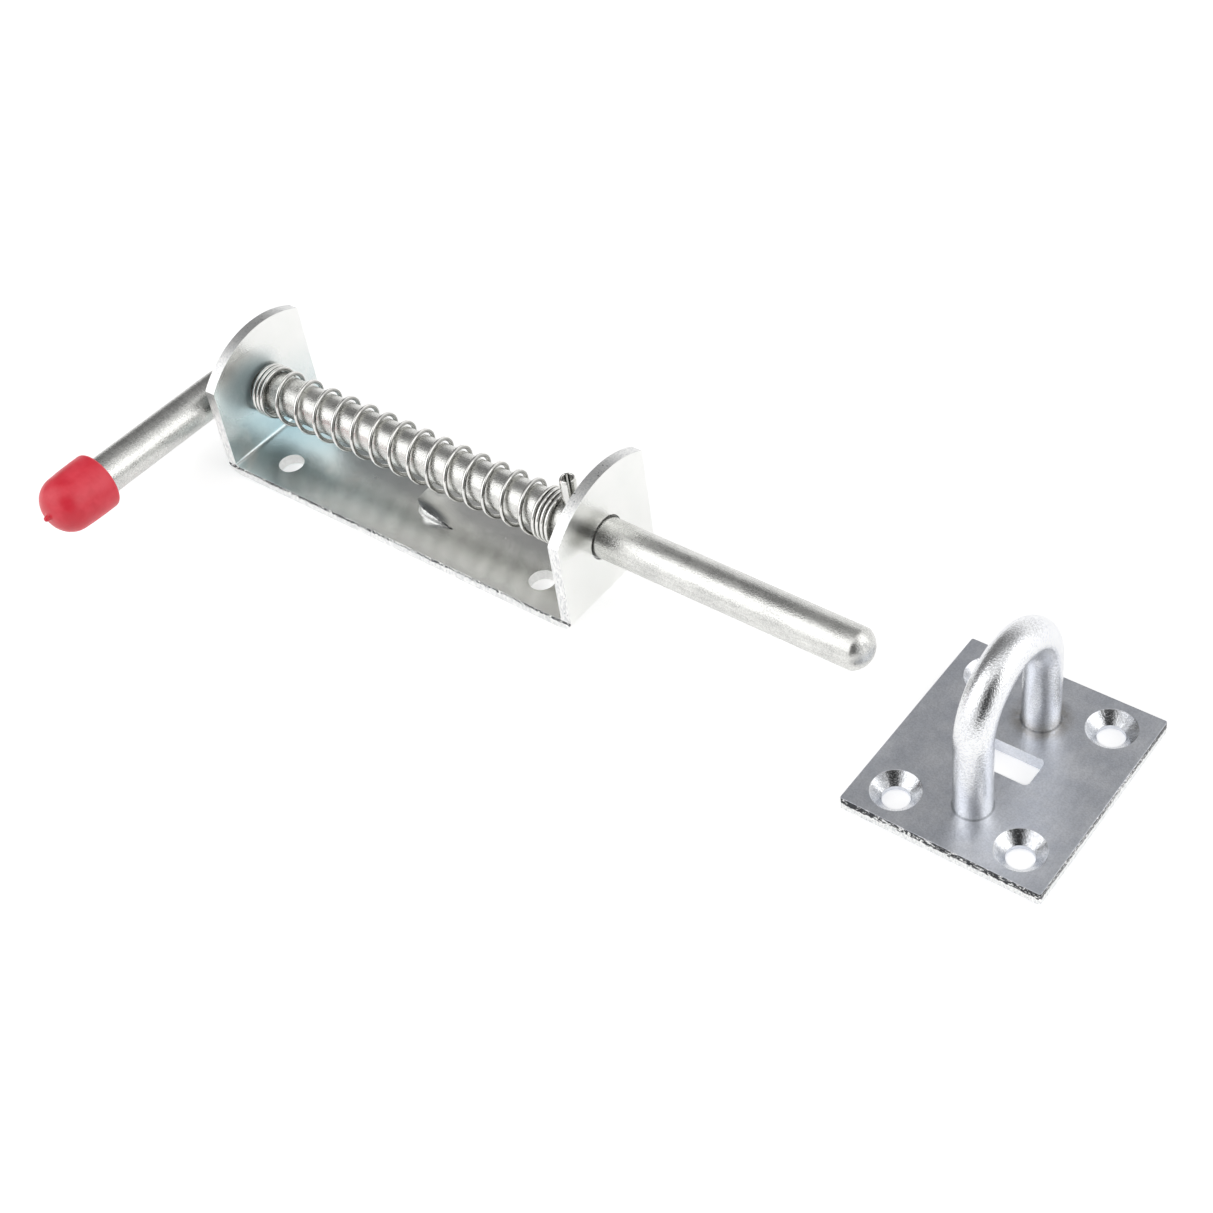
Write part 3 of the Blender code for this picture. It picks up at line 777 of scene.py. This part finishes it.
def mark_plate_edges(plate):
    """Gives the plate's outer edge the sheared coat, and the countersinks the turned one."""
    for face in plate.data.polygons:
        centre = face.center - Vector((MIDDLE_X + KEEP_X, 0, 0))
        rim = abs(centre.x) > KEEP_LENGTH / 2 - 0.001 or abs(centre.y) > KEEP_WIDTH / 2 - 0.001
        face.material_index = 1 if rim and abs(face.normal.z) < EDGE_ON else 0
        if not rim and 0.3 < face.normal.z < 0.95:
            face.material_index = 2


def dress(piece, body, slot, node, *materials):
    for material in materials:
        piece.data.materials.append(material)
    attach(piece, body)
    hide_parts(node)


def make_pieces():
    sheet = zinc(
        "zinc_sheet", (0.94, 0.94, 0.92), (0.89, 0.90, 0.88), rough=0.25, stretch=(90, 1500, 1500),
        grain_depth=0.12, cloud=0.5, sparkle=0.2, specks=0.9, marks=sheet_tint_and_shade,
    )
    sheet_edge = cut_edge("sheared_sheet_edge", SHEET, scored=0.42, depth=0.0006)
    punched = zinc(
        "punched_zinc", (0.97, 0.97, 0.96), (0.92, 0.92, 0.91), rough=0.40, stretch=(900, 900, 900),
        grain_depth=0.3, cloud=0.3, sparkle=0.4,
    )
    bar = zinc(
        "zinc_bar", (0.90, 0.90, 0.87), (0.74, 0.74, 0.72), rough=0.27, stretch=(140, 1900, 1900),
        grain_depth=0.6, cloud=0.6, sparkle=0.6,
    )
    wire = zinc(
        "spring_wire", (0.94, 0.93, 0.90), (0.80, 0.80, 0.78), rough=0.12, stretch=(900, 900, 900),
        grain_depth=0.4, cloud=0.2, sparkle=0.1, marks=wire_flank_shade,
    )
    pin = zinc(
        "pin_zinc", (0.94, 0.93, 0.90), (0.80, 0.80, 0.78), rough=0.20, stretch=(1600, 1600, 300),
        grain_depth=0.3, cloud=0.2, sparkle=0.2,
    )
    plate_zinc = zinc(
        "zinc_plate", (0.86, 0.88, 0.93), (0.74, 0.77, 0.84), rough=0.33, stretch=(1600, 300, 1600),
        grain_depth=0.25, cloud=0.8, sparkle=0.4, marks=plate_marks,
    )
    plate_edge = cut_edge("sheared_plate_edge", KEEP_THICKNESS, scored=0.45, depth=0.0014)
    turned = zinc(
        "turned_zinc", (0.90, 0.91, 0.93), (0.70, 0.72, 0.76), rough=0.14, stretch=(1100, 1100, 60),
        grain_depth=0.9, cloud=0.4, sparkle=0.5,
    )
    loop = zinc(
        "zinc_staple", (0.96, 0.97, 0.98), (0.92, 0.93, 0.96), rough=0.19, stretch=(1600, 700, 700),
        grain_depth=0.15, cloud=0.4, sparkle=0.7,
    )
    bracket = make_bracket()
    mark_bracket_edges(bracket)
    plate = make_keep_plate()
    mark_plate_edges(plate)
    dress(bracket, "fixed_parts", "zinc_sheet", "bracket", sheet, sheet_edge, punched)
    dress(plate, "fixed_parts", "zinc_plate", "keep_plate", plate_zinc, plate_edge, turned)
    dress(make_staple(), "fixed_parts", "zinc_bar", "staple", loop)
    dress(make_rod(), "bolt", "zinc_bar", "bolt_rod", bar)
    dress(make_cap(), "bolt", "red_vinyl", "handle_cap", vinyl())
    dress(make_pin(), "bolt", "spring_wire", "roll_pin", pin)
    spring = make_spring()
    dress(spring, "spring_coil", "spring_wire", "spring", wire)
    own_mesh(spring)


# Stage
def make_floor():
    """A pale floor that glows a little to the camera and in the metal, but lights nothing."""
    bm = bmesh.new()
    bmesh.ops.create_grid(bm, x_segments=4, y_segments=4, size=6)
    mesh = bpy.data.meshes.new("studio_floor")
    bm.to_mesh(mesh)
    bm.free()
    floor = bpy.data.objects.new("studio_floor", mesh)
    floor.location.z = -FLOOR_DROP
    bpy.context.scene.collection.objects.link(floor)
    material, n, shader = start_material("pale_floor")
    shader.inputs["Base Color"].default_value = FLOOR_COLOUR
    shader.inputs["Roughness"].default_value = 0.9
    shader.inputs["Specular IOR Level"].default_value = 0.0
    path = n.add("ShaderNodeLightPath").outputs
    mirrored = n.math("MAXIMUM", path["Is Glossy Ray"], path["Is Transmission Ray"])
    seen = n.times(path["Is Camera Ray"], FLOOR_SEEN_GLOW)
    glow = n.math("ADD", seen, n.times(mirrored, FLOOR_MIRRORED_GLOW))
    glow = n.add("ShaderNodeEmission", {"Color": (1, 1, 1, 1), "Strength": glow})
    both = n.add("ShaderNodeAddShader", {0: shader.outputs[0], 1: glow.outputs[0]})
    n.link(both.outputs[0], n.tree.nodes["Material Output"].inputs["Surface"])
    mesh.materials.append(material)


def make_world():
    """A white room for the metal to mirror, and plain white for the camera.

    The room has a grey far side, a paler grey wall above the near side, and a dark strip over the
    camera's place, where the photographer stood.
    """
    world = bpy.data.worlds.new("studio")
    world.use_nodes = True
    bpy.context.scene.world = world
    n = Nodes(world.node_tree)
    way = n.add("ShaderNodeTexCoord").outputs["Generated"]
    parts = n.split(way)
    x, y, z = parts["X"], parts["Y"], parts["Z"]
    tilted = n.math("SUBTRACT", y, n.times(n.math("ADD", x, 0.5), 0.6))
    far = n.ramp(tilted, -0.36, 0.06)
    left = n.ramp(x, -0.12, 0.44, 1.0, 0.0)
    wall = n.math("SUBTRACT", y, n.times(z, 0.3))
    high = n.times(n.ramp(wall, 0.45, 0.8, 1.0, 0.0), n.ramp(z, 0.0, 0.1))
    dark = n.times(n.times(far, left), high)
    depth = n.ramp(x, -0.66, -0.36, 0.79, 0.68)
    level = n.math("SUBTRACT", 1.0, n.times(dark, depth))
    near_wall = n.times(n.ramp(y, -0.9, -0.6, 1.0, 0.0), n.ramp(z, 0.3, 0.6, 0.16, 0.0))
    level = n.math("SUBTRACT", level, near_wall)
    ahead = n.vector("DOT_PRODUCT", way, AHEAD_OF_CAMERA, output="Value")
    aside = n.math("ABSOLUTE", n.vector("DOT_PRODUCT", way, ASIDE_OF_CAMERA, output="Value"))
    person = n.times(n.ramp(aside, 0.26, 0.55, 1.0, 0.0), n.ramp(ahead, 0.1, 0.4))
    person = n.times(person, n.ramp(z, 0.74, 0.92, 0.95, 0.0))
    level = n.times(level, n.math("SUBTRACT", 1.0, person))
    level = n.math("MAXIMUM", level, n.add("ShaderNodeLightPath").outputs["Is Camera Ray"])
    background = world.node_tree.nodes["Background"]
    n.link(n.grey(level), background.inputs["Color"])
    background.inputs["Strength"].default_value = 1.0


def add_softbox(name, place, size, power):
    data = bpy.data.lights.new(name, "AREA")
    data.shape = "SQUARE"
    data.size = size
    data.energy = power
    lamp = bpy.data.objects.new(name, data)
    bpy.context.scene.collection.objects.link(lamp)
    lamp.location = place
    lamp.rotation_mode = "QUATERNION"
    lamp.rotation_quaternion = (LAMP_TARGET - Vector(place)).to_track_quat("-Z", "Y")


def make_camera():
    """The photograph's own camera, from its calibration."""
    data = bpy.data.cameras.new("camera")
    camera = bpy.data.objects.new("camera", data)
    bpy.context.scene.collection.objects.link(camera)
    data.sensor_width = 36
    data.lens = 61.9035
    data.clip_start, data.clip_end = 0.01, 100
    right = Vector((0.78718484, 0.60547588, -0.11721342))
    down = Vector((0.36601431, -0.61163783, -0.70137912))
    ahead = Vector((-0.49636031, 0.50921323, -0.70308486))
    matrix = Matrix((right, -down, -ahead)).transposed().to_4x4()
    matrix.translation = (0.25531, -0.25026, 0.33868)
    camera.matrix_world = matrix
    bpy.context.scene.camera = camera


make_camera()
make_pieces()
make_floor()
make_world()
add_softbox("key_softbox", (-0.42, -0.62, 0.55), 0.9, 2.1)
add_softbox("fill_softbox", (0.75, 0.30, 0.42), 0.7, 1.3)
bpy.context.scene.view_settings.view_transform = "Standard"
